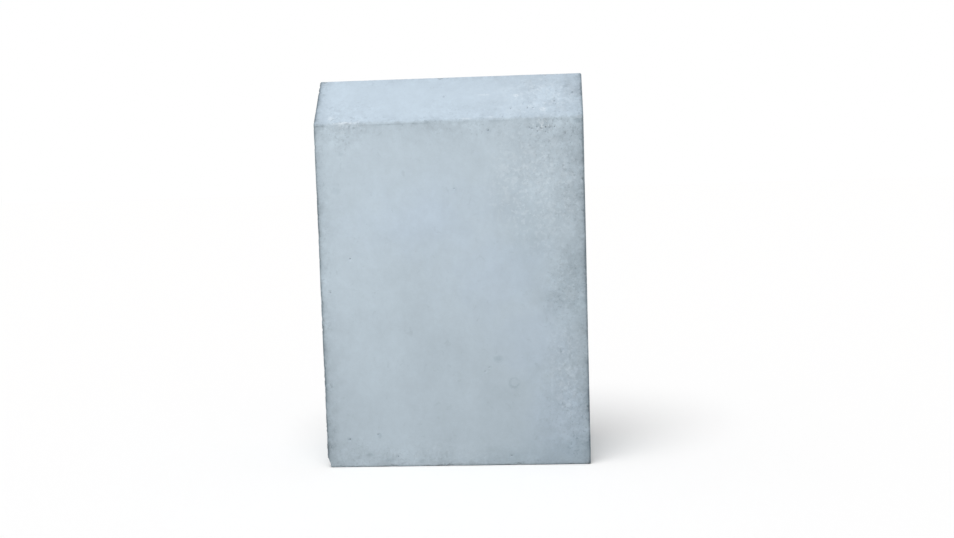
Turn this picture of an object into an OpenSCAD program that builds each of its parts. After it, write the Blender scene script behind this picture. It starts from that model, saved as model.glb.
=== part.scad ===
// Kerb stone cast in one piece of concrete, with a splayed top edge on its road face.
//
// X runs along the kerb line, -Y faces the road and +Z is up. The origin is at the middle
// of the bedding face, halfway along the stone and halfway through its thickness.

/* [Stone] */
// Length along the kerb line, between the two butting ends
stone_length = 300; // [200:5:1000]
// Thickness from the road face to the back face
stone_width = 150; // [110:5:300]
// Height from the bedding face to the flat top
stone_height = 440; // [200:5:600]

/* [Splay] */
// How far the splay reaches down the road face from the flat top
splay_rise = 50; // [15:1:150]
// How far the splay reaches back across the top from the road face
splay_run = 50; // [15:1:90]

/* [Arrises] */
// Radius of the eased edges that run along the kerb line
long_arris_r = 3; // [1:0.5:6]
// Radius of the eased edges that frame the two butting ends
end_arris_r = 2; // [1:0.5:6]

/* [Hidden] */
$fn = 64;

// Concrete, pale blue-grey and fair-faced
concrete = [0.70, 0.75, 0.77];
// An arris arc stops this far short of tangent, so that it crosses each face at an edge
arc_clear = 0.01;
// The cutters of the end arrises run this far past the corners of the section
cutter_over = 20;

// Corners of the cross-section, looking along the kerb line, anticlockwise from the
// bottom of the road face
section = [
    [-stone_width / 2, 0],
    [stone_width / 2, 0],
    [stone_width / 2, stone_height],
    [-stone_width / 2 + splay_run, stone_height],
    [-stone_width / 2, stone_height - splay_rise]
];
sides = len(section);

// The side that leaves a corner of the section, its heading and the angle inside the corner
function corner(i) = section[(i + sides) % sides];
function side(i) = corner(i + 1) - corner(i);
function heading(i) = atan2(side(i)[1], side(i)[0]);
function inside_angle(i) = acos(-side(i) * side(i - 1) / norm(side(i)) / norm(side(i - 1)));

// What an eased edge takes off, as seen along the edge. The edge is at the origin, one face
// leaves it along +X, and the stone fills the angle from that face round to the other.
module arris_waste(angle, r) {
    half = angle / 2;
    inward = [cos(half), sin(half)];
    along = (r - arc_clear) / tan(half);
    arc_centre = inward * (r - arc_clear) / sin(half);
    difference() {
        polygon([
            arc_centre,
            [along, -r],
            -inward * r / sin(half),
            [along * cos(angle) - r * sin(angle), along * sin(angle) + r * cos(angle)]
        ]);
        translate(arc_centre) circle(r);
    }
}

// The cross-section with its five corners eased
module eased_section() {
    difference() {
        polygon(section);
        for (i = [0 : sides - 1])
            translate(corner(i)) rotate(heading(i)) arris_waste(inside_angle(i), long_arris_r);
    }
}

// What comes off the five edges round the end at +X, in the frame of the section
module end_waste() {
    for (i = [0 : sides - 1])
        translate([corner(i)[0], corner(i)[1], stone_length / 2])
            rotate(heading(i))
                translate([-cutter_over, 0, 0])
                    rotate([0, 90, 0])
                        linear_extrude(norm(side(i)) + 2 * cutter_over)
                            arris_waste(90, end_arris_r);
}

// One solid casting, with its section run along the kerb line and both its ends eased
module kerb_stone() {
    color(concrete)
        rotate([90, 0, 90])
            difference() {
                linear_extrude(stone_length, center = true) eased_section();
                end_waste();
                mirror([0, 0, 1]) end_waste();
            }
}

kerb_stone();
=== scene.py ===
"""Kerb stone: one deep concrete casting with a splayed top edge, on a plain studio floor.

X runs along the kerb line, -Y faces the road and +Z is up, all in metres. The stone's overall
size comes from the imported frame, and everything that can be tuned is a property below.
"""

import math
import random
from collections import namedtuple

import bmesh
import bpy
from bpy.props import FloatProperty, FloatVectorProperty, IntProperty, PointerProperty
from mathutils import Euler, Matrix, Vector, kdtree, noise


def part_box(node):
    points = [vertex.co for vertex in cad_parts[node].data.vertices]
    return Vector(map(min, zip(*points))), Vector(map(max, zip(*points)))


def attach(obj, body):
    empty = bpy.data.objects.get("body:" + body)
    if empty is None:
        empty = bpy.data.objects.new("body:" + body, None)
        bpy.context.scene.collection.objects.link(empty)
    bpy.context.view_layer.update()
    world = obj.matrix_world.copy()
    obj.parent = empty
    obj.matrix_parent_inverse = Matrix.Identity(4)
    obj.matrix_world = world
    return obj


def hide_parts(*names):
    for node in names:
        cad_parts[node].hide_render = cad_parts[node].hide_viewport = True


bl_info = {
    "name": "Kerb Stone",
    "version": (1, 0, 0),
    "blender": (4, 5, 0),
    "location": "3D View > Sidebar > Kerb Stone",
    "description": "Casts a weathered concrete kerb stone and sets it on a studio floor",
    "category": "Add Mesh",
}

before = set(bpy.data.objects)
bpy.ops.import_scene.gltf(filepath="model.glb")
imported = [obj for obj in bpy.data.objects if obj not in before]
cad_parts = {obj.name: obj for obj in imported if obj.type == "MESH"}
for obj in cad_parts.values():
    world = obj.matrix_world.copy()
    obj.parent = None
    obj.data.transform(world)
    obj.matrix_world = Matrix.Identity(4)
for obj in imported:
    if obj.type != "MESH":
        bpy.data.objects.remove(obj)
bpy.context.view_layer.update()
LOW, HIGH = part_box("kerb_stone")
MM = 0.001


# ---------------------------------------------------------------- properties


def length_property(name, description, default, largest=1.0):
    return FloatProperty(
        name=name, description=description, default=default, min=0.0, max=largest, unit="LENGTH"
    )


def colour_property(name, description, default):
    return FloatVectorProperty(
        name=name,
        description=description,
        default=default,
        min=0.0,
        max=1.0,
        size=3,
        subtype="COLOR",
    )


class KerbShape(bpy.types.PropertyGroup):
    """Sizes of the casting and how worn it is."""

    splay_rise: length_property("Splay Rise", "How far the splay reaches down the road face", 0.05)
    splay_run: length_property("Splay Run", "How far the splay reaches back across the top", 0.05)
    long_arris: length_property(
        "Long Arris", "Radius of the eased edges along the kerb line", 0.003, 0.02
    )
    end_arris: length_property(
        "End Arris", "Radius of the eased edges round the two ends", 0.002, 0.02
    )
    cell: length_property("Cell", "Spacing of the mesh on the flat faces", 0.005, 0.05)
    fine_cell: length_property(
        "Fine Cell", "Spacing of the mesh along the arrises", 0.00125, 0.01
    )
    arris_wear: length_property(
        "Arris Wear", "How deep the ragged wear eats into an arris", 0.0012, 0.01
    )
    waviness: length_property(
        "Waviness", "How far the cast faces wander from flat", 0.00025, 0.005
    )
    chips: IntProperty(
        name="Chips",
        description="Small chips scattered over the arrises",
        default=60,
        min=0,
        max=400,
    )
    air_holes: IntProperty(
        name="Air Holes",
        description="Air holes scattered over the cast faces",
        default=230,
        min=0,
        max=800,
    )
    seed: IntProperty(name="Seed", description="Pattern of the chips and air holes", default=11)


class ConcreteFinish(bpy.types.PropertyGroup):
    """Colours and grain of the concrete."""

    body: colour_property("Body", "Cement skin where it is clean", (0.486, 0.564, 0.617))
    # Also painted over everything above the nose, mainly the up-facing splay, as painted sky light
    cool: colour_property("Cool", "Bluish clouds in the cement skin", (0.483, 0.565, 0.640))
    damp: colour_property("Damp", "Tint that damp stains lay over the skin", (0.825, 0.85, 0.86))
    # Also the tint of painted shade: in the joints at the two ends, in the chips and in tiny pits
    soil_and_shade: colour_property("Soil", "Tint of the dirt along the arrises", (0.36, 0.39, 0.40))
    lime: colour_property("Lime", "Flecks and smears of lime bloom", (0.74, 0.80, 0.84))
    broken: colour_property("Broken", "Broken concrete in worn places", (0.44, 0.50, 0.54))
    # Painted shade inside the air holes and pinholes
    hole_shade: colour_property("Hollow", "Inside of the air holes", (0.24, 0.28, 0.31))
    roughness: FloatProperty(
        name="Roughness",
        description="Roughness of the clean cement skin",
        default=0.74,
        min=0.0,
        max=1.0,
        subtype="FACTOR",
    )
    grain: length_property("Grain", "Height of the fine sand grain", 0.00008, 0.002)


class StudioSetup(bpy.types.PropertyGroup):
    """Floor, lights and camera."""

    floor: colour_property("Floor", "Plain floor", (0.954, 0.933, 0.902))
    floor_reach: length_property(
        "Floor Reach", "How far the floor runs each way from the stone", 12.0, 50.0
    )
    sky: FloatProperty(
        name="Sky",
        description="Strength of the soft light from all round",
        default=0.52,
        min=0.0,
        max=5.0,
    )
    sky_tint: colour_property("Sky Tint", "Colour of the soft light", (0.95, 0.968, 1.0))
    key: FloatProperty(
        name="Key",
        description="Strength of the wide light from above the camera",
        default=1.95,
        min=0.0,
        max=20.0,
    )
    key_spread: FloatProperty(
        name="Key Spread",
        description="Angle that the wide light spans, which softens its shadows",
        default=math.radians(38.0),
        min=0.0,
        max=math.pi,
        subtype="ANGLE",
        unit="ROTATION",
    )
    key_turn: FloatVectorProperty(
        name="Key Turn",
        description="How the wide light is turned",
        default=(math.radians(20.0), 0.0, math.radians(-18.0)),
        size=3,
        subtype="EULER",
        unit="ROTATION",
    )
    lens: FloatProperty(
        name="Lens",
        description="Focal length of the camera",
        default=44.405,
        min=10.0,
        max=300.0,
        unit="CAMERA",
    )
    camera_at: FloatVectorProperty(
        name="Camera",
        description="Where the camera stands",
        default=(0.11570, -1.37957, 0.34633),
        size=3,
        subtype="TRANSLATION",
        unit="LENGTH",
    )
    camera_turn: FloatVectorProperty(
        name="Camera Turn",
        description="How the camera is turned",
        default=(math.radians(84.6557), math.radians(1.7414), math.radians(3.6868)),
        size=3,
        subtype="EULER",
        unit="ROTATION",
    )


# ---------------------------------------------------------------- the casting

Arris = namedtuple("Arris", "start end outward")
AirHole = namedtuple("AirHole", "cell centre radius depth")

# Sides and corners of the section, in order from the bottom of the road face
SIDES = ("foot", "back", "top", "splay", "road")
CORNERS = ("road_foot", "back_foot", "back_top", "splay_top", "splay_foot")
# What each vertex carries for its concrete: how worn it is, how deep in an air hole, and how
# far from the ends, the nose of the splay, the bed and the flat top
LAYERS = ("worn", "sunk", "end_gap", "nose_gap", "foot_gap", "top_gap")
# Slices beside an arris, from its easing inwards, in millimetres
CLOSE_SLICES = (0.0, 0.8, 1.8, 3.0, 4.4, 6.4)
# Two normals whose dot product is over this face the same way
SAME_WAY = 0.9
# A cut takes a vertex this close as lying on its plane
ON_PLANE = 1e-6
# Past the easing of an arris, the mesh is fine for this far and wear reaches this far
FINE_REACH, WEAR_REACH = 3.2 * MM, 3.5 * MM
# Waves to a metre of the broad and ragged wear, of the swell and grain of the chips, and of the
# slow and quick wandering of the faces
BROAD_WEAR, RAGGED_WEAR = 30.0, 230.0
CHIP_SWELL, CHIP_GRAIN = 130.0, 320.0
SLOW_WANDER, QUICK_WANDER = 9.0, 55.0


def section_corners(shape):
    """Corners of the section as (y, z), anticlockwise from the bottom of the road face."""
    return [
        Vector((LOW.y, LOW.z)),
        Vector((HIGH.y, LOW.z)),
        Vector((HIGH.y, HIGH.z)),
        Vector((LOW.y + shape.splay_run, HIGH.z)),
        Vector((LOW.y, HIGH.z - shape.splay_rise)),
    ]


def side_normals(corners):
    """Outward normal of each side, in the order of the corners that the sides leave."""
    sides = [corners[(i + 1) % len(corners)] - corners[i] for i in range(len(corners))]
    return [Vector((side.y, -side.x)).normalized() for side in sides]


def face_normals(shape):
    """Outward normal of each face by its name."""
    normals = side_normals(section_corners(shape))
    found = {name: Vector((0.0, *normal)) for name, normal in zip(SIDES, normals)}
    found["left"] = Vector((-1.0, 0.0, 0.0))
    found["right"] = Vector((1.0, 0.0, 0.0))
    return found


def arrises(shape):
    """Every edge of the stone: five along it by name, and five round each end."""
    corners = section_corners(shape)
    normals = side_normals(corners)
    found = {}
    for i, name in enumerate(CORNERS):
        across = (normals[i] + normals[i - 1]).normalized()
        found[name] = Arris(
            Vector((LOW.x, *corners[i])),
            Vector((HIGH.x, *corners[i])),
            Vector((0.0, *across)),
        )
        after = corners[(i + 1) % len(corners)]
        for end, x in (("left", LOW.x), ("right", HIGH.x)):
            out = Vector((math.copysign(1.0, x), *normals[i])).normalized()
            found[f"{SIDES[i]}_{end}"] = Arris(
                Vector((x, *corners[i])), Vector((x, *after)), out
            )
    return found


def slice_across(bm, axis, places):
    """Cuts the whole mesh by planes square to one axis."""
    normal = Vector([float(i == axis) for i in range(3)])
    for place in places:
        bmesh.ops.bisect_plane(
            bm,
            geom=bm.verts[:] + bm.edges[:] + bm.faces[:],
            dist=ON_PLANE,
            plane_co=normal * place,
            plane_no=normal,
        )


def graded(low, high, cell, ease, inner=()):
    """Places for slices between low and high: close together beside each arris."""
    steps = [ease + s * MM for s in CLOSE_SLICES]
    places = []
    stops = [low, *inner, high]
    for a, b in zip(stops, stops[1:]):
        start, stop = a + steps[-1], b - steps[-1]
        count = max(1, round((stop - start) / cell))
        places += [a + s for s in steps[:-1]]
        places += [start + (stop - start) * i / count for i in range(count + 1)]
        places += [b - s for s in reversed(steps[:-1])]
    return places


def block(bm, shape):
    """A plain block with its splay cut off and every edge eased."""
    bmesh.ops.create_cube(bm, size=1.0)
    size = HIGH - LOW
    bmesh.ops.scale(bm, vec=size, verts=bm.verts)
    bmesh.ops.translate(bm, vec=(LOW + HIGH) / 2, verts=bm.verts)
    corners = section_corners(shape)
    cut = bmesh.ops.bisect_plane(
        bm,
        geom=bm.verts[:] + bm.edges[:] + bm.faces[:],
        dist=ON_PLANE,
        plane_co=Vector((0.0, *corners[CORNERS.index("splay_foot")])),
        plane_no=face_normals(shape)["splay"],
        clear_outer=True,
    )
    rim = [e for e in cut["geom_cut"] if isinstance(e, bmesh.types.BMEdge)]
    bmesh.ops.edgeloop_fill(bm, edges=rim)
    bmesh.ops.recalc_face_normals(bm, faces=bm.faces)

    # A bevel's offset is how far its arc reaches along each face: its radius at a square edge,
    # and less at the two edges of the splay
    along = [e for e in bm.edges if abs(e.verts[0].co.x - e.verts[1].co.x) > size.x / 2]
    for e in along:
        e.tag = e.calc_face_angle() > math.radians(80)
    for square in (True, False):
        edges = [e for e in along if e.is_valid and e.tag == square]
        back = 1.0 if square else math.tan(math.radians(22.5))
        bmesh.ops.bevel(
            bm,
            geom=edges,
            offset=shape.long_arris * back,
            offset_type="OFFSET",
            segments=5 if square else 3,
            profile=0.5,
            affect="EDGES",
            material=-1,
        )
    rims = [
        e
        for e in bm.edges
        if any(abs(f.normal.x) > 0.99 for f in e.link_faces) and len(e.link_faces) == 2
    ]
    bmesh.ops.bevel(
        bm,
        geom=rims,
        offset=shape.end_arris,
        offset_type="OFFSET",
        segments=4,
        profile=0.5,
        affect="EDGES",
        material=-1,
    )


def distance_to(arris, point):
    """Distance from a point to an arris."""
    run = arris.end - arris.start
    share = min(1.0, max(0.0, (point - arris.start).dot(run) / run.length_squared))
    return (point - arris.start - run * share).length


def refine_arrises(bm, shape, edges_of):
    """Cuts the long cells beside the arrises shorter, so that wear has something to move."""
    reach = shape.long_arris + FINE_REACH
    wanted = {}
    for e in bm.edges:
        cuts = min(3, round(e.calc_length() / shape.fine_cell) - 1)
        if cuts < 1:
            continue
        middle = (e.verts[0].co + e.verts[1].co) / 2
        if min(distance_to(a, middle) for a in edges_of.values()) < reach:
            wanted.setdefault(cuts, []).append(e)
    for cuts, edges in sorted(wanted.items(), reverse=True):
        bmesh.ops.subdivide_edges(
            bm, edges=[e for e in edges if e.is_valid], cuts=cuts, use_grid_fill=True
        )


def flat_cells(bm, shape):
    """The plain quads on the flat faces, which are large enough to take an air hole."""
    least = (0.75 * shape.cell) ** 2
    return [f for f in bm.faces if len(f.verts) == 4 and f.calc_area() > least]


def sink_holes(bm, holes, cuts, steps, rng):
    """Sinks a batch of air holes, each with a crisp rim and a round floor, into its flat cell."""
    sunk = bm.verts.layers.float["sunk"]
    cells = [hole.cell for hole in holes]
    bmesh.ops.inset_individual(bm, faces=cells, thickness=0.3 * MM)
    rims = [e for f in cells for e in f.edges]
    bmesh.ops.subdivide_edges(bm, edges=rims, cuts=cuts)
    rings = []
    for hole in holes:
        normal = hole.cell.normal.copy()
        right = (hole.cell.verts[1].co - hole.cell.verts[0].co).normalized()
        up = normal.cross(right)
        sway, skew, burr = rng.uniform(0, math.tau), rng.uniform(0.06, 0.2), rng.uniform(0, 0.1)
        ring = []
        corners = [loop.vert for loop in hole.cell.loops]
        first = corners[0].co - hole.centre
        turn = math.atan2(first.dot(up), first.dot(right))
        for i, v in enumerate(corners):
            angle = turn + math.tau * i / len(corners)
            size = 1 + skew * math.sin(2 * angle + sway) + burr * math.sin(3 * angle - sway)
            arm = (right * math.cos(angle) + up * math.sin(angle)) * (hole.radius * size)
            v.co = hole.centre + arm
            ring.append(arm)
        lean = (right * rng.uniform(-0.2, 0.2) + up * rng.uniform(-0.2, 0.2)) * hole.radius
        rings.append((ring, lean - normal * hole.depth))
    for share, down in steps:
        bmesh.ops.inset_individual(bm, faces=cells, thickness=0.01 * MM)
        for hole, (ring, drop) in zip(holes, rings):
            for loop, arm in zip(hole.cell.loops, ring):
                loop.vert.co = hole.centre + arm * share + drop * down
                loop.vert[sunk] = down


class HoleMarks:
    """Marks where the air holes go: each in a flat cell of its own, near where it is asked for."""

    def __init__(self, shape, cells):
        self.shape = shape
        self.cells = cells
        self.taken = set()
        self.holes = []
        self.tree = kdtree.KDTree(len(cells))
        for i, f in enumerate(cells):
            self.tree.insert(f.calc_center_median(), i)
        self.tree.balance()

    def mark(self, point, normal, radius, depth):
        for _, i, _ in self.tree.find_n(point, 4):
            if i in self.taken or self.cells[i].normal.dot(normal) < SAME_WAY:
                continue
            self.taken.add(i)
            middle = self.cells[i].calc_center_median()
            shift = point - middle
            shift -= normal * shift.dot(normal)
            room = max(0.0, self.shape.cell / 2 - 0.45 * MM - radius)
            if shift.length > room:
                shift *= room / shift.length
            self.holes.append(AirHole(self.cells[i], middle + shift, radius, depth))
            return


def mark_known_holes(marks, shape):
    """Marks the air holes that are in known places on the road face and the splay."""
    normals = face_normals(shape)
    corners = dict(zip(CORNERS, section_corners(shape)))
    nose = Vector((0.0, *corners["splay_foot"]))
    up_splay = Vector((0.0, *(corners["splay_top"] - corners["splay_foot"]))).normalized()
    for x, height, radius in ROAD_FACE_HOLES:
        place = Vector((x * MM, LOW.y, height * MM))
        marks.mark(place, normals["road"], radius * MM, radius * MM)
    for x, up, radius in SPLAY_HOLES:
        place = Vector((x * MM, 0.0, 0.0)) + nose + up_splay * up * MM
        marks.mark(place, normals["splay"], radius * MM, radius * MM)


def mark_scattered_holes(marks, shape, rng):
    """Scatters the other air holes over the faces: many small ones, and a few large."""
    normals = face_normals(shape)
    for side, share in HOLE_SHARES:
        normal = normals[side]
        here = [f for f in marks.cells if f.normal.dot(normal) > SAME_WAY]
        for _ in range(round(shape.air_holes * share)):
            middle = rng.choice(here).calc_center_median()
            radius = min(1.7, 0.3 + rng.expovariate(3.0)) * MM
            jitter = Vector([rng.uniform(-0.4, 0.4) * shape.cell for _ in range(3)])
            marks.mark(middle + jitter, normal, radius, radius * rng.uniform(0.6, 1.2))


def air_holes(bm, shape, rng):
    """Sinks the air holes: a few in known places, and the rest scattered."""
    marks = HoleMarks(shape, flat_cells(bm, shape))
    mark_known_holes(marks, shape)
    mark_scattered_holes(marks, shape, rng)
    large = [hole for hole in marks.holes if hole.radius > LARGE_HOLE]
    small = [hole for hole in marks.holes if hole.radius <= LARGE_HOLE]
    sink_holes(bm, large, 3, ((0.92, 0.4), (0.76, 0.72), (0.45, 0.95), (0.15, 1.0)), rng)
    sink_holes(bm, small, 1, ((0.85, 0.55), (0.5, 0.95)), rng)


# Share of the scattered air holes that each face gets
HOLE_SHARES = (("top", 0.09), ("back", 0.41), ("foot", 0.14), ("left", 0.18), ("right", 0.18))
# An air hole with a larger radius than this gets a rounder rim and floor
LARGE_HOLE = 0.8 * MM

# Air holes on the road face: along the stone, above the bed, radius, in millimetres
ROAD_FACE_HOLES = (
    (44.8, 377.5, 0.65), (98.0, 381.0, 0.5), (103.0, 378.0, 0.55), (104.5, 382.3, 0.8),
    (109.5, 379.5, 0.5), (93.0, 378.0, 0.5), (113.0, 383.5, 0.45), (99.0, 375.0, 0.45),
    (107.5, 374.0, 0.4), (97.0, 385.0, 0.4), (-114.6, 240.0, 0.6), (-138.0, 201.0, 0.5),
    (5.1, 315.0, 0.45), (33.4, 108.7, 0.4), (37.4, 112.4, 0.35), (-121.9, 33.1, 0.6),
    (-67.7, 12.1, 0.6), (62.0, 11.0, 0.5), (-91.0, 38.0, 0.45), (127.0, 24.0, 0.45),
    (130.0, 371.0, 0.4),
)

# Air holes on the splay: along the stone, up the slope from the arris, radius
SPLAY_HOLES = (
    (-5.2, 38.0, 0.55), (139.0, 39.0, 0.7), (71.5, 11.0, 0.5), (88.0, 14.5, 0.5),
    (118.0, 26.0, 0.45), (96.0, 10.0, 0.55),
)

# Chips on named arrises, in millimetres: how far along, length, depth, lean towards one face.
# They are measured from the left on an arris along the stone, downwards beside the splay and the
# road face, and back from the road face beside the bed.
KNOWN_CHIPS = {
    "road_left": (
        (4, 7, 1.6, 0.1), (25, 9, 1.7, 0.3), (38, 5, 1.4, 0.2), (57, 7, 1.5, 0.3),
        (72, 5, 1.3, 0.0), (88, 6, 1.3, 0.2), (110, 4, 1.2, 0.2), (137, 9, 1.6, 0.2),
        (177, 6, 1.4, -0.2), (197, 6, 1.4, 0.3), (232, 5, 1.2, 0.3), (270, 6, 1.3, 0.2),
        (305, 9, 1.9, 0.4), (342, 5, 1.3, 0.2), (377, 6, 1.9, 0.3), (386, 18, 2.6, 0.3),
    ),
    "road_right": (
        (5, 8, 1.8, 0.2), (12, 5, 1.4, 0.3), (49, 6, 1.6, 0.3), (90, 5, 1.3, 0.2),
        (110, 5, 1.2, -0.2), (162, 5, 1.2, 0.2), (190, 7, 1.7, 0.3), (236, 6, 1.3, 0.0),
        (300, 6, 1.3, 0.2), (352, 5, 1.3, 0.2), (384, 6, 1.5, 0.2),
    ),
    "splay_left": ((20, 5, 1.3, 0.2), (49, 5, 1.3, 0.1)),
    "splay_right": ((24, 6, 1.4, 0.2), (61, 5, 1.3, 0.0)),
    "foot_left": ((3, 20, 4.2, 1.5), (13, 18, 2.8, 1.4)),
    "splay_foot": (
        (16, 6, 0.45, 0.0), (38, 10, 0.5, 0.2), (94, 7, 0.4, 0.2), (252, 8, 0.5, 0.2),
        (296, 8, 1.2, 0.1),
    ),
    "road_foot": (
        (60, 7, 1.3, 0.2), (96, 5, 1.2, 0.0), (143, 5, 1.1, 0.1), (176, 6, 1.4, 0.1),
        (244, 8, 1.3, 0.2), (286, 6, 1.2, 0.0),
    ),
}


def chip_list(shape, edges_of, rng):
    """Each chip as the ball that bites it out: its centre and radius."""
    made = []

    def bite(arris, along, length, depth, lean):
        run = (arris.end - arris.start).normalized()
        side = run.cross(arris.outward)
        out = (arris.outward + side * lean).normalized()
        radius = (length * length / 8 + depth * depth / 2) / depth
        made.append((arris.start + run * along + out * (radius - depth), radius))

    for name, chips in KNOWN_CHIPS.items():
        for along, length, depth, lean in chips:
            bite(edges_of[name], along * MM, length * MM, depth * MM, lean)
    names = sorted(set(edges_of) - {"splay_foot"})
    weights = [(edges_of[n].end - edges_of[n].start).length for n in names]
    for _ in range(shape.chips):
        arris = edges_of[rng.choices(names, weights)[0]]
        length = rng.uniform(3.0, 8.0) * MM
        depth = (0.8 + rng.expovariate(3.0)) * MM
        run = (arris.end - arris.start).length
        bite(arris, rng.uniform(0, run), length, min(depth, length / 3), rng.uniform(-0.4, 0.4))
    return made


def refine_chips(bm, shape, chips):
    """Cuts the long cells inside the larger chips shorter, so that they break cleanly."""
    for cuts, longest in ((3, 3.2 * shape.fine_cell), (1, 1.6 * shape.fine_cell)):
        inside = []
        for e in bm.edges:
            if e.calc_length() > longest:
                middle = (e.verts[0].co + e.verts[1].co) / 2
                if any((middle - centre).length < radius * 1.02 for centre, radius in chips):
                    inside.append(e)
        bmesh.ops.subdivide_edges(bm, edges=inside, cuts=cuts, use_grid_fill=True)


def measure_edges(bm, edges_of):
    """Stores how far each vertex is from each kind of arris."""
    groups = {
        "end_gap": [a for n, a in edges_of.items() if n.endswith(("_left", "_right"))],
        "nose_gap": [edges_of["splay_foot"]],
        "foot_gap": [edges_of["road_foot"], edges_of["back_foot"]],
        "top_gap": [edges_of["splay_top"], edges_of["back_top"]],
    }
    for label, near in groups.items():
        layer = bm.verts.layers.float[label]
        for v in bm.verts:
            v[layer] = min(distance_to(a, v.co) for a in near)


def wear_arrises(bm, shape, edges_of):
    """Rubs the arrises down by a ragged, uneven amount."""
    worn, _, *gaps = (bm.verts.layers.float[name] for name in LAYERS)
    reach = shape.long_arris + WEAR_REACH
    for v in bm.verts:
        if min(v[gap] for gap in gaps) > reach:
            continue
        at = v.co.copy()
        broad = noise.fractal(at * BROAD_WEAR, 1.0, 2.0, 3)
        ragged = noise.fractal(at * RAGGED_WEAR + Vector((3.1, 7.7, 1.3)), 0.8, 2.0, 4)
        bites = max(0.0, 0.35 + 1.2 * broad + 1.1 * ragged)
        for name, arris in edges_of.items():
            if distance_to(arris, at) > reach:
                continue
            above = (v.co - arris.start).dot(arris.outward)
            if name in ("splay_foot", "splay_top"):
                depth = 0.18 * MM + shape.arris_wear * 0.35 * bites
            else:
                depth = 0.62 * MM + shape.arris_wear * bites
            over = above + depth
            if over > 0:
                v.co -= arris.outward * over
                v[worn] = max(v[worn], min(1.0, over / (1.2 * MM)))


def bite_chips(bm, chips):
    """Pushes the surface back to the hollow that each chip leaves."""
    worn = bm.verts.layers.float["worn"]
    bm.verts.index_update()
    bm.verts.ensure_lookup_table()
    tree = kdtree.KDTree(len(bm.verts))
    for v in bm.verts:
        tree.insert(v.co, v.index)
    tree.balance()
    for centre, radius in chips:
        for _, index, _ in tree.find_range(centre, radius * 1.08):
            v = bm.verts[index]
            away = v.co - centre
            rough = noise.fractal(v.co * CHIP_GRAIN, 0.8, 2.0, 4)
            swell = 0.05 * noise.noise(v.co * CHIP_SWELL)
            limit = radius * (1.0 + swell) + 0.28 * MM * rough
            if 0 < away.length < limit:
                deep = limit - away.length
                v.co = centre + away * (limit / away.length)
                v[worn] = max(v[worn], min(1.0, 0.4 + deep / (1.6 * MM)))


def wander(bm, shape):
    """Lets the cast faces wander a little inwards, and the bed stays flat."""
    for v in bm.verts:
        if v.co.z < LOW.z + 0.5 * MM:
            continue
        slow = noise.fractal(v.co * SLOW_WANDER, 1.0, 2.0, 2)
        quick = noise.noise(v.co * QUICK_WANDER)
        inward = shape.waviness * max(0.0, 0.5 + 0.6 * slow + 0.18 * quick)
        v.co -= v.normal * inward


def keep_in_box(bm):
    """Nothing stands proud of the block that the stone was cast in."""
    for v in bm.verts:
        for axis in range(3):
            v.co[axis] = min(max(v.co[axis], LOW[axis]), HIGH[axis])


def cast_mesh(shape):
    """The whole stone as one closed mesh."""
    rng = random.Random(shape.seed)
    bm = bmesh.new()
    for name in LAYERS:
        bm.verts.layers.float.new(name)
    block(bm, shape)
    corners = dict(zip(CORNERS, section_corners(shape)))
    splay_back, nose_height = corners["splay_top"].x, corners["splay_foot"].y
    slice_across(bm, 0, graded(LOW.x, HIGH.x, shape.cell, shape.end_arris))
    slice_across(bm, 1, graded(LOW.y, HIGH.y, shape.cell, shape.long_arris, (splay_back,)))
    slice_across(bm, 2, graded(LOW.z, HIGH.z, shape.cell, shape.long_arris, (nose_height,)))
    edges_of = arrises(shape)
    refine_arrises(bm, shape, edges_of)
    chips = chip_list(shape, edges_of, rng)
    refine_chips(bm, shape, chips)
    air_holes(bm, shape, rng)
    measure_edges(bm, edges_of)
    wear_arrises(bm, shape, edges_of)
    bite_chips(bm, chips)
    bm.normal_update()
    wander(bm, shape)
    keep_in_box(bm)
    bmesh.ops.triangulate(bm, faces=[f for f in bm.faces if len(f.verts) > 4])
    bmesh.ops.recalc_face_normals(bm, faces=bm.faces)
    for f in bm.faces:
        f.smooth = True
    mesh = bpy.data.meshes.new("kerb_stone_cast")
    bm.to_mesh(mesh)
    bm.free()
    return mesh


# ---------------------------------------------------------------- node helpers


def feed(tree, socket, value):
    if isinstance(value, bpy.types.NodeSocket):
        tree.links.new(value, socket)
    else:
        socket.default_value = value


def calc(tree, operation, a, b=None, clamp=False):
    node = tree.nodes.new("ShaderNodeMath")
    node.operation = operation
    node.use_clamp = clamp
    feed(tree, node.inputs[0], a)
    if b is not None:
        feed(tree, node.inputs[1], b)
    return node.outputs[0]


def vector_calc(tree, operation, a, b=None, scale=None):
    node = tree.nodes.new("ShaderNodeVectorMath")
    node.operation = operation
    feed(tree, node.inputs[0], a)
    if b is not None:
        feed(tree, node.inputs[1], b)
    if scale is not None:
        feed(tree, node.inputs["Scale"], scale)
    return node.outputs["Value" if operation in ("LENGTH", "DISTANCE") else "Vector"]


def blend_colours(tree, share, a, b, how="MIX"):
    node = tree.nodes.new("ShaderNodeMix")
    node.data_type = "RGBA"
    node.blend_type = how
    feed(tree, node.inputs["Factor"], share)
    feed(tree, node.inputs[6], a)
    feed(tree, node.inputs[7], b)
    return node.outputs[2]


def ramp(tree, value, start, stop, low=0.0, high=1.0, smooth=True):
    node = tree.nodes.new("ShaderNodeMapRange")
    node.interpolation_type = "SMOOTHSTEP" if smooth else "LINEAR"
    for name, number in (
        ("Value", value),
        ("From Min", start),
        ("From Max", stop),
        ("To Min", low),
        ("To Max", high),
    ):
        feed(tree, node.inputs[name], number)
    return node.outputs["Result"]


def grain_noise(tree, vector, scale, detail=4.0, rough=0.5, twist=0.0):
    node = tree.nodes.new("ShaderNodeTexNoise")
    for name, number in (
        ("Vector", vector),
        ("Scale", scale),
        ("Detail", detail),
        ("Roughness", rough),
        ("Distortion", twist),
    ):
        feed(tree, node.inputs[name], number)
    return node.outputs["Fac"]


def rgba(colour):
    return (*colour, 1.0)


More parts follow.
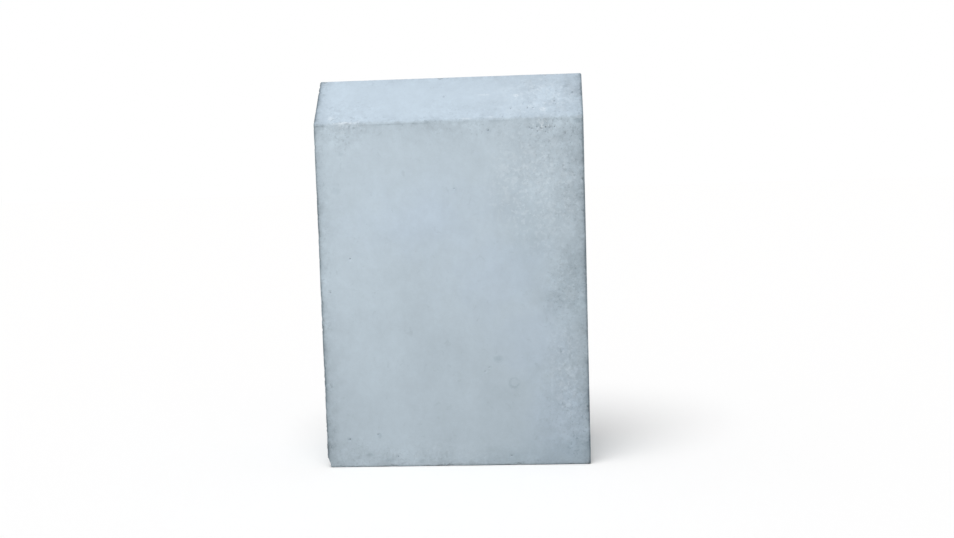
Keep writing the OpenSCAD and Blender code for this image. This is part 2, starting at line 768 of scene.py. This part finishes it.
def new_group(name, inputs, outputs):
    """An empty node group with its sockets, and its input and output nodes."""
    tree = bpy.data.node_groups.new(name, "ShaderNodeTree")
    for label, kind, default in inputs:
        socket = tree.interface.new_socket(label, in_out="INPUT", socket_type=kind)
        if default is not None:
            socket.default_value = default
    for label, kind in outputs:
        tree.interface.new_socket(label, in_out="OUTPUT", socket_type=kind)
    return tree, tree.nodes.new("NodeGroupInput"), tree.nodes.new("NodeGroupOutput")


def use_group(tree, group, **values):
    node = tree.nodes.new("ShaderNodeGroup")
    node.node_tree = group
    for name, value in values.items():
        feed(tree, node.inputs[name.replace("_", " ")], value)
    return node


FLOAT, VECTOR = "NodeSocketFloat", "NodeSocketVector"


def stain_group():
    """A soft ragged patch round a point, and the tide ring at its rim."""
    tree, given, out = new_group(
        "stain",
        [
            ("Position", VECTOR, None),
            ("Centre", VECTOR, (0.0, 0.0, 0.0)),
            ("Size", VECTOR, (0.05, 0.05, 0.05)),
            ("Ragged", FLOAT, 0.3),
            ("Ragged Scale", FLOAT, 60.0),
            ("Soft", FLOAT, 0.5),
        ],
        [("Mask", FLOAT), ("Ring", FLOAT)],
    )
    g = given.outputs
    apart = vector_calc(tree, "SUBTRACT", g["Position"], g["Centre"])
    apart = vector_calc(tree, "DIVIDE", apart, g["Size"])
    gap = vector_calc(tree, "LENGTH", apart)
    wild = grain_noise(tree, g["Position"], g["Ragged Scale"], 4.0, 0.6)
    wild = calc(tree, "SUBTRACT", wild, 0.5)
    gap = calc(tree, "ADD", gap, calc(tree, "MULTIPLY", wild, g["Ragged"]))
    inner = calc(tree, "SUBTRACT", 1.0, g["Soft"])
    feed(tree, out.inputs["Mask"], ramp(tree, gap, inner, 1.0, 1.0, 0.0))
    off_rim = calc(tree, "ABSOLUTE", calc(tree, "SUBTRACT", gap, 1.0))
    ring = ramp(tree, off_rim, 0.0, 0.6, 1.0, 0.0)
    ring = calc(tree, "MULTIPLY", ring, ramp(tree, wild, -0.12, 0.1, 0.25, 1.0))
    feed(tree, out.inputs["Ring"], ring)
    return tree


def drift_group():
    """Soft drifting clouds, centred on nought."""
    tree, given, out = new_group(
        "cement_drift",
        [
            ("Position", VECTOR, None),
            ("Scale", FLOAT, 12.0),
            ("Detail", FLOAT, 4.0),
            ("Twist", FLOAT, 0.3),
        ],
        [("Value", FLOAT)],
    )
    g = given.outputs
    cloud = grain_noise(tree, g["Position"], g["Scale"], g["Detail"], 0.55, g["Twist"])
    cloud = calc(tree, "SUBTRACT", cloud, 0.5)
    feed(tree, out.inputs["Value"], calc(tree, "MULTIPLY", cloud, 4.0))
    return tree


def flecks_group():
    """Small soft-edged flecks, thick or thin on the ground."""
    tree, given, out = new_group(
        "flecks",
        [
            ("Position", VECTOR, None),
            ("Scale", FLOAT, 200.0),
            ("Start", FLOAT, 0.52),
            ("Stop", FLOAT, 0.68),
            ("Twist", FLOAT, 0.3),
        ],
        [("Mask", FLOAT)],
    )
    g = given.outputs
    fleck = grain_noise(tree, g["Position"], g["Scale"], 5.0, 0.62, g["Twist"])
    feed(tree, out.inputs["Mask"], ramp(tree, fleck, g["Start"], g["Stop"]))
    return tree


def pinholes_group():
    """Scattered pinholes: a mask for the painted shade inside them, and the dimples that they
    make.
    """
    tree, given, out = new_group(
        "pinholes",
        [
            ("Position", VECTOR, None),
            ("Scale", FLOAT, 300.0),
            ("Radius", FLOAT, 0.2),
            ("Share", FLOAT, 0.1),
        ],
        [("Mask", FLOAT), ("Height", FLOAT)],
    )
    g = given.outputs
    cells = tree.nodes.new("ShaderNodeTexVoronoi")
    feed(tree, cells.inputs["Vector"], g["Position"])
    feed(tree, cells.inputs["Scale"], g["Scale"])
    feed(tree, cells.inputs["Randomness"], 1.0)
    pick = tree.nodes.new("ShaderNodeSeparateColor")
    feed(tree, pick.inputs["Color"], cells.outputs["Color"])
    kept = calc(tree, "LESS_THAN", pick.outputs["Red"], g["Share"])
    size = calc(tree, "MULTIPLY", g["Radius"], ramp(tree, pick.outputs["Green"], 0, 1, 0.5, 1.0))
    inner = calc(tree, "MULTIPLY", size, 0.6)
    dot = ramp(tree, cells.outputs["Distance"], inner, size, 1.0, 0.0)
    mask = calc(tree, "MULTIPLY", dot, kept)
    feed(tree, out.inputs["Mask"], mask)
    feed(tree, out.inputs["Height"], calc(tree, "MULTIPLY", mask, -1.0))
    return tree


def edge_soil_group():
    """Dirt, and at the ends painted shade of the joints, that fades away from an arris, with a
    ragged front.
    """
    tree, given, out = new_group(
        "edge_soil_and_shade",
        [
            ("Position", VECTOR, None),
            ("Gap", FLOAT, 0.01),
            ("Reach", FLOAT, 0.01),
            ("Ragged", FLOAT, 0.006),
            ("Patchy", FLOAT, 0.5),
        ],
        [("Mask", FLOAT)],
    )
    g = given.outputs
    wild = calc(tree, "SUBTRACT", grain_noise(tree, g["Position"], 70.0, 6.0, 0.62), 0.5)
    gap = calc(tree, "ADD", g["Gap"], calc(tree, "MULTIPLY", wild, g["Ragged"]))
    gap = calc(tree, "MAXIMUM", gap, 0.0)
    share = calc(tree, "DIVIDE", calc(tree, "MULTIPLY", gap, -1.0), g["Reach"])
    fade = calc(tree, "EXPONENT", share)
    broad = ramp(tree, grain_noise(tree, g["Position"], 22.0, 3.0, 0.55), 0.3, 0.7)
    thin = calc(tree, "SUBTRACT", 1.0, calc(tree, "MULTIPLY", g["Patchy"], broad))
    feed(tree, out.inputs["Mask"], calc(tree, "MULTIPLY", fade, thin))
    return tree


# ---------------------------------------------------------------- the concrete

# Stains: centre (x, y, z) and size in millimetres, raggedness, softness and strength
COOL_CLOUDS = (
    ((-20, -75, 280), (125, 60, 72), 1.2, 1.0, 0.85),
    ((50, -75, 215), (90, 60, 72), 1.2, 1.0, 0.8),
    ((95, -75, 140), (72, 60, 72), 1.2, 1.0, 0.8),
    ((120, -75, 50), (65, 60, 110), 1.2, 1.0, 0.95),
)
PALE_CLOUDS = (
    ((-80, -75, 320), (95, 60, 85), 0.5, 1.0, 1.0),
    ((-125, -75, 365), (50, 60, 50), 0.6, 1.0, 1.2),
    ((-15, -75, 330), (80, 60, 60), 0.6, 1.0, 0.8),
    ((-115, -75, 230), (80, 60, 65), 0.6, 1.0, 0.9),
    ((-95, -75, 130), (80, 60, 60), 0.6, 1.0, 0.7),
    ((100, -75, 366), (50, 60, 20), 0.6, 1.0, 0.7),
    ((-60, -75, 20), (90, 60, 30), 0.6, 1.0, 0.7),
    ((76, -75, 195), (15, 60, 50), 0.5, 0.9, 0.7),
    ((105, -75, 285), (35, 60, 40), 0.8, 0.9, 0.4),
    ((5, -50, 417), (75, 60, 40), 0.8, 1.0, 0.45),
)
DAMP_CLOUDS = (
    ((138, -75, 195), (55, 60, 82), 0.7, 0.9, 1.25),
    ((135, -75, 15), (75, 60, 45), 0.9, 1.0, 1.9),
    ((70, -75, 8), (65, 60, 34), 0.9, 1.0, 1.2),
    ((88, -75, 262), (62, 60, 100), 0.9, 1.0, 0.85),
    ((150, -75, 370), (110, 32, 60), 0.7, 0.9, 0.32),
    ((-15, -75, 128), (65, 60, 50), 1.0, 1.0, 0.18),
    ((85, -75, 85), (40, 60, 45), 0.9, 1.0, 0.5),
    ((120, -75, 5), (110, 60, 56), 0.9, 1.0, 1.5),
    ((170, -75, -10), (190, 60, 260), 0.5, 1.0, 0.95),
    ((48.4, -75, 122.5), (6.5, 10, 5), 1.4, 0.7, 1.5),
    ((-127, -75, 315), (8, 10, 5), 0.8, 0.8, 0.6),
    ((5.5, -75, 314), (4, 10, 6), 0.7, 0.8, 0.7),
    ((118, -75, 27), (16, 12, 4), 0.9, 0.8, 0.6),
    ((143, -75, 385), (7, 12, 3.5), 0.9, 0.6, 1.6),
    ((103, -75, 381), (9, 12, 5), 0.9, 0.8, 0.9),
    ((45, -75, 377), (4, 12, 3), 0.9, 0.8, 0.9),
    ((-89, -75, 37), (3.5, 12, 5), 1.4, 0.7, 1.2),
    ((-123, -75, 33), (4, 12, 3.5), 1.4, 0.7, 1.1),
    ((-100, -75, 14), (8, 12, 2.5), 1.4, 0.7, 1.1),
    ((-78, -75, 8), (8, 12, 3.5), 1.4, 0.7, 1.2),
    ((-40, -75, 6), (7, 12, 3), 1.4, 0.7, 1.0),
    ((-120, -75, 356), (4, 12, 3), 1.4, 0.7, 0.9),
)
TIDE_RINGS = (
    ((66, -75, 94), (5.0, 30, 5.5), 2.2, 0.5, 1.7),
    ((49, -75, 122), (4.5, 30, 3.5), 2.0, 0.5, 1.2),
)
LIME_PATCHES = (
    ((94, -75, 318), (74, 40, 100), 0.9, 0.7, 0.8),
    ((130, -75, 205), (35, 40, 55), 0.9, 0.9, 0.5),
    ((100, -50, 415), (85, 60, 50), 0.9, 0.8, 0.64),
    ((-115, -75, 388), (35, 30, 12), 0.8, 0.8, 1.0),
    ((125, -75, 110), (35, 40, 110), 0.8, 0.9, 0.6),
    ((104, -75, 382), (14, 30, 8), 0.8, 0.8, 2.0),
    ((-25, -75, 10), (130, 40, 30), 0.9, 1.0, 0.35),
)
LIME_SMEARS = (
    ((76, -55, 416), (5, 20, 2.5), 0.9, 0.7, 1.0),
    ((40, -52, 418), (10, 20, 1.8), 0.9, 0.8, 0.7),
    ((105, -60, 399), (7, 20, 4), 1.2, 0.8, 0.8),
    ((-115, -73, 390), (16, 20, 2.2), 1.4, 0.7, 1.0),
    ((20, -73, 391), (8, 20, 1.8), 1.3, 0.8, 0.6),
    ((48, -73, 392), (6, 20, 1.8), 1.3, 0.8, 0.6),
    ((-131, -71, 396), (5, 20, 4), 1.1, 0.8, 0.6),
)
OPEN_PATCHES = (
    ((150, -60, 400), (125, 120, 215), 0.7, 1.0, 0.8),
    ((135, -75, 205), (45, 60, 75), 0.9, 0.9, 0.6),
    ((150, -75, 60), (80, 60, 190), 0.7, 1.0, 0.6),
    ((-120, -75, 395), (75, 60, 45), 0.8, 1.0, 0.65),
    ((20, -75, 395), (120, 60, 40), 0.8, 1.0, 0.5),
    ((-90, -75, 0), (140, 60, 45), 0.8, 1.0, 0.45),
)
LIME_DRIPS = (((112, -52, 415), (34, 40, 20), 0.9, 0.8, 0.7),)
NOSE_LINE = (
    ((-62, -75, 388), (50, 30, 30), 0.8, 0.6, 1.0),
    ((-142, -75, 388), (10, 30, 30), 0.6, 0.6, 0.7),
    ((20, -75, 388), (30, 30, 30), 0.9, 0.8, 0.4),
    ((56, -75, 388), (16, 30, 30), 0.8, 0.6, 0.8),
    ((115, -75, 388), (16, 30, 30), 0.8, 0.6, 0.9),
    ((148, -75, 388), (10, 30, 30), 0.6, 0.6, 1.0),
)


# A stain longer than this, in millimetres, has a broadly ragged front, and a shorter one a
# finely ragged front, in waves to a metre
BROAD_STAIN = 20
BROAD_FRONT, FINE_FRONT = 24.0, 160.0

# Dirt along each kind of arris: how far it reaches and how ragged its front is, in millimetres,
# how dark it is, and how much it opens the skin. At the two ends the band is dirt and also
# painted shade of the joints between neighbouring stones
Soil = namedtuple("Soil", "reach ragged dark opening")
SOILS_AND_SHADE = {
    "end_gap": Soil(7.5, 16.0, 0.52, 1.0),
    "nose_gap": Soil(7.5, 12.0, 0.13, 0.8),
    "foot_gap": Soil(14.0, 14.0, 0.15, 0.6),
    "top_gap": Soil(6.0, 6.0, 0.12, 0.6),
}
# Reach of the dirt and painted joint shade at the right-hand end, which is the darker one, in
# millimetres
RIGHT_END_REACH = 14.0
PINHOLE_DEPTH = 0.3 * MM


class ConcreteSurface:
    """Builds the concrete's colour, roughness and relief in one node tree, layer by layer.

    The nose is the height of the arris where the splay meets the road face.
    """

    def __init__(self, tree, finish, nose):
        self.tree = tree
        self.finish = finish
        self.nose = nose
        self.at = tree.nodes.new("ShaderNodeTexCoord").outputs["Object"]
        place = tree.nodes.new("ShaderNodeSeparateXYZ")
        feed(tree, place.inputs["Vector"], self.at)
        self.x, self.z = place.outputs["X"], place.outputs["Z"]
        self.stain, self.drift, self.flecks = stain_group(), drift_group(), flecks_group()
        self.pinholes, self.edge_soil_and_shade = pinholes_group(), edge_soil_group()
        self.gaps = {name: self.measured(name) for name in SOILS_AND_SHADE}
        self.soils_and_shade = {name: self.soil_and_shade_beside(name) for name in SOILS_AND_SHADE}
        self.open_skin = self.opened()
        self.worn = self.measured("worn")
        self.weather = self.centred(self.noise(20.0, 7.0, 0.85, 0.1))
        self.crumbs = self.noise(420.0, 4.0, 0.7)
        self.dots = use_group(
            tree, self.pinholes, Position=self.at, Scale=170.0, Radius=0.13, Share=0.03
        )

    # Shorthand for the nodes that the layers are made of

    def times(self, a, b):
        return calc(self.tree, "MULTIPLY", a, b)

    def plus(self, a, b):
        return calc(self.tree, "ADD", a, b)

    def larger(self, a, b):
        return calc(self.tree, "MAXIMUM", a, b)

    def centred(self, value):
        return calc(self.tree, "SUBTRACT", value, 0.5)

    def ramp(self, value, start, stop, low=0.0, high=1.0, smooth=True):
        return ramp(self.tree, value, start, stop, low, high, smooth)

    def noise(self, scale, detail, rough, twist=0.0, at=None):
        return grain_noise(self.tree, self.at if at is None else at, scale, detail, rough, twist)

    def squashed(self, factors):
        """The place on the stone with its axes scaled, which stretches a pattern."""
        return vector_calc(self.tree, "MULTIPLY", self.at, factors)

    def fleck(self, scale, start, stop, twist, at=None):
        where = self.at if at is None else at
        values = {"Scale": scale, "Start": start, "Stop": stop, "Twist": twist}
        return use_group(self.tree, self.flecks, Position=where, **values).outputs["Mask"]

    def measured(self, name):
        node = self.tree.nodes.new("ShaderNodeAttribute")
        node.attribute_name = name
        return node.outputs["Fac"]

    def paint(self, colour, share, over):
        return blend_colours(self.tree, share, colour, rgba(over))

    def tint(self, colour, share, tint):
        return blend_colours(self.tree, share, colour, rgba(tint), "MULTIPLY")

    def brighten(self, colour, factor):
        return vector_calc(self.tree, "SCALE", colour, scale=factor)

    # Masks

    def patches(self, spots, socket="Mask"):
        """The strongest of the stains at each place."""
        total = None
        for centre, size, ragged, soft, strength in spots:
            node = use_group(
                self.tree,
                self.stain,
                Position=self.at,
                Centre=[c * MM for c in centre],
                Size=[s * MM for s in size],
                Ragged=ragged,
                Ragged_Scale=BROAD_FRONT if size[0] > BROAD_STAIN else FINE_FRONT,
                Soft=soft,
            )
            one = self.times(node.outputs[socket], strength)
            total = one if total is None else self.larger(total, one)
        return total

    def soil_and_shade_from(self, gap, reach, ragged, patchy):
        node = use_group(
            self.tree,
            self.edge_soil_and_shade,
            Position=self.at,
            Gap=gap,
            Reach=reach,
            Ragged=ragged,
            Patchy=patchy,
        )
        return node.outputs["Mask"]

    def soil_and_shade_beside(self, name):
        """Dirt beside one kind of arris; beside the two ends it is also painted shade of the
        joints.
        """
        soil_and_shade = SOILS_AND_SHADE[name]
        reach = soil_and_shade.reach * MM
        if name == "end_gap":
            right_hand = self.ramp(self.x, -0.05, 0.1)
            reach = self.ramp(right_hand, 0.0, 1.0, reach, RIGHT_END_REACH * MM, smooth=False)
        return self.soil_and_shade_from(self.gaps[name], reach, soil_and_shade.ragged * MM, 0.5)

    def opened(self):
        """Where the skin is open: near the arrises and in patches, and less so on the splay."""
        splay = self.ramp(self.z, self.nose - 2 * MM, self.nose + 4 * MM, 1.0, 0.65)
        total = self.times(self.patches(OPEN_PATCHES), splay)
        for name, soil_and_shade in SOILS_AND_SHADE.items():
            total = self.larger(total, self.times(self.soils_and_shade[name], soil_and_shade.opening))
        return total

    # Layers, from the clean skin outwards

    def skin_and_painted_light(self):
        """Cement skin with bluish and pale clouds, weathered mottles and washed streaks, with
        painted sky light above the nose and painted shade low down.
        """
        # Painted sky light: everything above the nose, mainly the up-facing splay, takes half of
        # the bluish tint
        splay = self.ramp(self.z, self.nose - 2 * MM, self.nose + 2 * MM, 0.0, 0.5)
        cool = self.larger(self.patches(COOL_CLOUDS), splay)
        colour = self.paint(rgba(self.finish.body), cool, self.finish.cool)
        broad = use_group(
            self.tree, self.drift, Position=self.at, Scale=8.0, Detail=3.0, Twist=0.5
        )
        washed = self.centred(self.noise(70.0, 5.0, 0.6, at=self.squashed((0.35, 1.0, 1.0))))
        # Painted shade: darker towards the bottom, where less light from above reaches. The ramp
        # along x makes it darker towards the right-hand end
        tone = self.ramp(self.z, LOW.z - 0.05, 0.30, 0.88, 1.06)
        tone = self.times(tone, self.ramp(self.x, LOW.x, HIGH.x, 1.03, 0.955, smooth=False))
        for mottle, strength in (
            (self.patches(PALE_CLOUDS), 0.055),
            (broad.outputs["Value"], 0.014),
            (self.weather, self.plus(0.38, self.times(self.open_skin, 1.4))),
            (washed, self.times(self.soils_and_shade["foot_gap"], 0.5)),
        ):
            tone = self.times(tone, self.plus(1.0, self.times(mottle, strength)))
        return self.brighten(colour, tone)

    def stains_soil_and_shade(self, colour):
        """Damp stains and tide rings, and the dirt beside the arrises, which at the two ends is
        also painted shade of the joints.
        """
        stained = self.larger(self.patches(DAMP_CLOUDS), self.patches(TIDE_RINGS, "Ring"))
        colour = self.tint(colour, self.times(stained, 0.6), self.finish.damp)
        # Dirt beside the arrises; at the two ends it is also painted shade of the joints
        dirt_and_shade = 0.0
        for name, soil_and_shade in SOILS_AND_SHADE.items():
            dirt_and_shade = self.plus(dirt_and_shade, self.times(self.soils_and_shade[name], soil_and_shade.dark))
        return self.tint(colour, dirt_and_shade, self.finish.soil_and_shade)

    def lime_bloom(self, colour):
        """Lime: flecks in the open patches, drips down the splay, and smears near its nose."""
        bloom = self.fleck(215.0, 0.51, 0.62, 0.2)
        smears = self.fleck(105.0, 0.52, 0.62, 0.5)
        drips = self.fleck(230.0, 0.56, 0.66, 0.2, at=self.squashed((1.0, 0.22, 0.22)))
        limy = self.larger(self.patches(LIME_PATCHES), self.times(self.soils_and_shade["end_gap"], 0.5))
        lime = self.times(self.larger(bloom, self.times(smears, 0.65)), limy)
        lime = self.larger(lime, self.times(drips, self.patches(LIME_DRIPS)))
        crumbly = self.ramp(self.crumbs, 0.38, 0.56, 0.25, 1.0)
        smeared = self.times(self.patches(LIME_SMEARS), crumbly)
        lime = self.larger(self.times(lime, 0.34), self.times(smeared, 0.7))
        return self.paint(colour, lime, self.finish.lime)

    def open_texture(self, colour):
        """Flakes, marks, and pits darkened with dirt and painted shade, strongest where the skin
        is open.
        """
        flakes = self.fleck(150.0, 0.48, 0.54, 0.2)
        flakes = self.ramp(flakes, 0.0, 1.0, -0.055, 0.06, smooth=False)
        colour = self.brighten(colour, self.plus(1.0, self.times(flakes, self.open_skin)))
        marks = self.fleck(110.0, 0.60, 0.72, 0.8)
        marks = self.times(marks, self.plus(0.12, self.times(self.open_skin, 0.35)))
        colour = self.tint(colour, marks, self.finish.soil_and_shade)
        # Painted shade, with some dirt, in tiny pits that have no relief of their own
        pit_dirt_and_shade = self.times(self.fleck(330.0, 0.57, 0.66, 0.0), self.open_skin)
        return self.tint(colour, self.times(pit_dirt_and_shade, 0.55), self.finish.soil_and_shade)

    def worn_and_shaded_arrises(self, colour):
        """Broken concrete on the worn arrises, a dirt line under the nose, and a tight dark band
        of dirt and painted shade along the ends and in the chips.
        """
        colour = self.paint(colour, self.ramp(self.worn, 0.1, 0.6, 0.0, 0.6), self.finish.broken)
        # Painted shade of the joints between stones, with some dirt, in a tight band just in from
        # the ends
        off_end = calc(self.tree, "SUBTRACT", self.gaps["end_gap"], 1.2 * MM)
        tight_soil_and_shade = self.soil_and_shade_from(off_end, 1.1 * MM, 4.0 * MM, 0.4)
        off_line = calc(self.tree, "SUBTRACT", self.gaps["nose_gap"], 2.6 * MM)
        off_line = calc(self.tree, "ABSOLUTE", off_line)
        line = self.soil_and_shade_from(off_line, 0.9 * MM, 2.0 * MM, 0.9)
        line = self.times(line, self.patches(NOSE_LINE))
        under = self.ramp(self.z, self.nose - 1.5 * MM, self.nose - 0.5 * MM, 1.0, 0.0)
        tight_soil_and_shade = self.larger(tight_soil_and_shade, self.times(self.times(line, under), 0.85))
        # Painted shade in the chips, with some dirt
        off_nose = self.ramp(self.gaps["nose_gap"], 3.0 * MM, 6.0 * MM, 0.3, 1.0)
        chip_soil_and_shade = self.times(self.ramp(self.worn, 0.5, 1.0), off_nose)
        chip_soil_and_shade = self.times(chip_soil_and_shade, self.ramp(self.crumbs, 0.35, 0.6, 0.85, 0.3))
        tight_soil_and_shade = self.larger(tight_soil_and_shade, chip_soil_and_shade)
        return self.tint(colour, self.times(tight_soil_and_shade, 0.85), self.finish.soil_and_shade)

    def paint_hole_shade(self, colour):
        """Painted shade inside the air holes and pinholes."""
        holes = self.ramp(self.measured("sunk"), 0.2, 1.0, 0.0, 0.9)
        holes = self.larger(holes, self.times(self.dots.outputs["Mask"], 0.35))
        return self.paint(colour, holes, self.finish.hole_shade)

    def colour(self):
        colour = self.skin_and_painted_light()
        colour = self.stains_soil_and_shade(colour)
        colour = self.lime_bloom(colour)
        colour = self.open_texture(colour)
        colour = self.worn_and_shaded_arrises(colour)
        return self.paint_hole_shade(colour)

    def roughness(self):
        rough = self.plus(self.finish.roughness, self.times(self.open_skin, 0.15))
        return calc(self.tree, "ADD", rough, self.times(self.weather, 0.3), clamp=True)

    def relief(self):
        """Height of the sand grain, the soft lumps and the pinholes, in metres."""
        grain = self.finish.grain
        sand = self.times(self.noise(900.0, 3.0, 0.6), self.plus(0.5, self.open_skin))
        lumps = self.noise(150.0, 4.0, 0.55)
        height = self.plus(self.times(sand, grain), self.times(lumps, grain * 1.4))
        return self.plus(height, self.times(self.dots.outputs["Height"], PINHOLE_DEPTH))


def concrete(finish, shape):
    """Fair-faced concrete: clouds, edge soil, lime flecks, pinholes and sand grain, with painted
    sky light on the splay and painted shade low down, at the ends, in the chips and in the holes.
    """
    material = bpy.data.materials.new("cast_concrete")
    material.use_nodes = True
    tree = material.node_tree
    tree.nodes.clear()
    surface = ConcreteSurface(tree, finish, HIGH.z - shape.splay_rise)
    shader = tree.nodes.new("ShaderNodeBsdfPrincipled")
    shader.inputs["Specular IOR Level"].default_value = 0.35
    feed(tree, shader.inputs["Base Color"], surface.colour())
    feed(tree, shader.inputs["Roughness"], surface.roughness())
    bump = tree.nodes.new("ShaderNodeBump")
    bump.inputs["Strength"].default_value = 1.0
    bump.inputs["Distance"].default_value = 1.0
    feed(tree, bump.inputs["Height"], surface.relief())
    feed(tree, shader.inputs["Normal"], bump.outputs["Normal"])
    end = tree.nodes.new("ShaderNodeOutputMaterial")
    feed(tree, end.inputs["Surface"], shader.outputs["BSDF"])
    return material


# ---------------------------------------------------------------- the studio


def lay_floor(scene, studio):
    """A wide plain floor under the stone."""
    bm = bmesh.new()
    bmesh.ops.create_grid(bm, x_segments=1, y_segments=1, size=studio.floor_reach)
    mesh = bpy.data.meshes.new("studio_floor")
    bm.to_mesh(mesh)
    bm.free()
    floor = bpy.data.objects.new("studio_floor", mesh)
    scene.collection.objects.link(floor)
    paint = bpy.data.materials.new("studio_floor")
    paint.use_nodes = True
    coat = paint.node_tree.nodes["Principled BSDF"]
    coat.inputs["Base Color"].default_value = rgba(studio.floor)
    coat.inputs["Roughness"].default_value = 0.95
    coat.inputs["Specular IOR Level"].default_value = 0.0
    mesh.materials.append(paint)


def light_sky(scene, studio):
    """Soft light from all round, which the camera sees as plain white."""
    world = bpy.data.worlds.new("studio_sky")
    world.use_nodes = True
    scene.world = world
    tree = world.node_tree
    tree.nodes.clear()
    seen = tree.nodes.new("ShaderNodeBackground")
    seen.inputs["Color"].default_value = (1.0, 1.0, 1.0, 1.0)
    lit = tree.nodes.new("ShaderNodeBackground")
    lit.inputs["Color"].default_value = rgba(studio.sky_tint)
    lit.inputs["Strength"].default_value = studio.sky
    path = tree.nodes.new("ShaderNodeLightPath")
    mix = tree.nodes.new("ShaderNodeMixShader")
    tree.links.new(path.outputs["Is Camera Ray"], mix.inputs["Fac"])
    tree.links.new(lit.outputs["Background"], mix.inputs[1])
    tree.links.new(seen.outputs["Background"], mix.inputs[2])
    end = tree.nodes.new("ShaderNodeOutputWorld")
    tree.links.new(mix.outputs["Shader"], end.inputs["Surface"])


def hang_key_light(scene, studio):
    """The wide light from above the camera."""
    light = bpy.data.lights.new("key_light", "SUN")
    light.energy = studio.key
    light.angle = studio.key_spread
    light.color = studio.sky_tint
    lamp = bpy.data.objects.new("key_light", light)
    lamp.rotation_euler = studio.key_turn
    scene.collection.objects.link(lamp)


def place_camera(scene, studio):
    """The scene's camera."""
    camera = bpy.data.cameras.new("camera")
    camera.lens = studio.lens
    camera.sensor_width = 36.0
    camera.clip_start = 0.01
    seat = bpy.data.objects.new("camera", camera)
    seat.location = studio.camera_at
    seat.rotation_euler = Euler(studio.camera_turn, "XYZ")
    scene.collection.objects.link(seat)
    scene.camera = seat


# ---------------------------------------------------------------- operators


class KERB_OT_cast_stone(bpy.types.Operator):
    """Casts the kerb stone and gives it its concrete"""

    bl_idname = "kerb.cast_stone"
    bl_label = "Cast Kerb Stone"

    def execute(self, context):
        scene = context.scene
        stone = bpy.data.objects.new("kerb_stone_cast", cast_mesh(scene.kerb_shape))
        scene.collection.objects.link(stone)
        stone.data.materials.append(concrete(scene.kerb_finish, scene.kerb_shape))
        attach(stone, "root")
        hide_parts("kerb_stone")
        return {"FINISHED"}


class KERB_OT_set_studio(bpy.types.Operator):
    """Lays the floor, hangs the lights and places the camera"""

    bl_idname = "kerb.set_studio"
    bl_label = "Set Studio"

    def execute(self, context):
        scene = context.scene
        studio = scene.kerb_studio
        lay_floor(scene, studio)
        light_sky(scene, studio)
        hang_key_light(scene, studio)
        place_camera(scene, studio)
        scene.view_settings.view_transform = "Standard"
        return {"FINISHED"}


class KERB_PT_panel(bpy.types.Panel):
    """Sidebar panel with the kerb stone's operators and properties"""

    bl_idname = "KERB_PT_panel"
    bl_label = "Kerb Stone"
    bl_space_type = "VIEW_3D"
    bl_region_type = "UI"
    bl_category = "Kerb Stone"

    def draw(self, context):
        layout = self.layout
        for group in (
            context.scene.kerb_shape,
            context.scene.kerb_finish,
            context.scene.kerb_studio,
        ):
            box = layout.box()
            for name in group.bl_rna.properties.keys():
                if name not in ("rna_type", "name"):
                    box.prop(group, name)
        layout.operator(KERB_OT_cast_stone.bl_idname)
        layout.operator(KERB_OT_set_studio.bl_idname)


CLASSES = (
    KerbShape,
    ConcreteFinish,
    StudioSetup,
    KERB_OT_cast_stone,
    KERB_OT_set_studio,
    KERB_PT_panel,
)


def register():
    for cls in CLASSES:
        bpy.utils.register_class(cls)
    bpy.types.Scene.kerb_shape = PointerProperty(type=KerbShape)
    bpy.types.Scene.kerb_finish = PointerProperty(type=ConcreteFinish)
    bpy.types.Scene.kerb_studio = PointerProperty(type=StudioSetup)


def unregister():
    del bpy.types.Scene.kerb_studio
    del bpy.types.Scene.kerb_finish
    del bpy.types.Scene.kerb_shape
    for cls in reversed(CLASSES):
        bpy.utils.unregister_class(cls)


def main():
    register()
    bpy.ops.kerb.cast_stone()
    bpy.ops.kerb.set_studio()


if __name__ == "__main__":
    main()
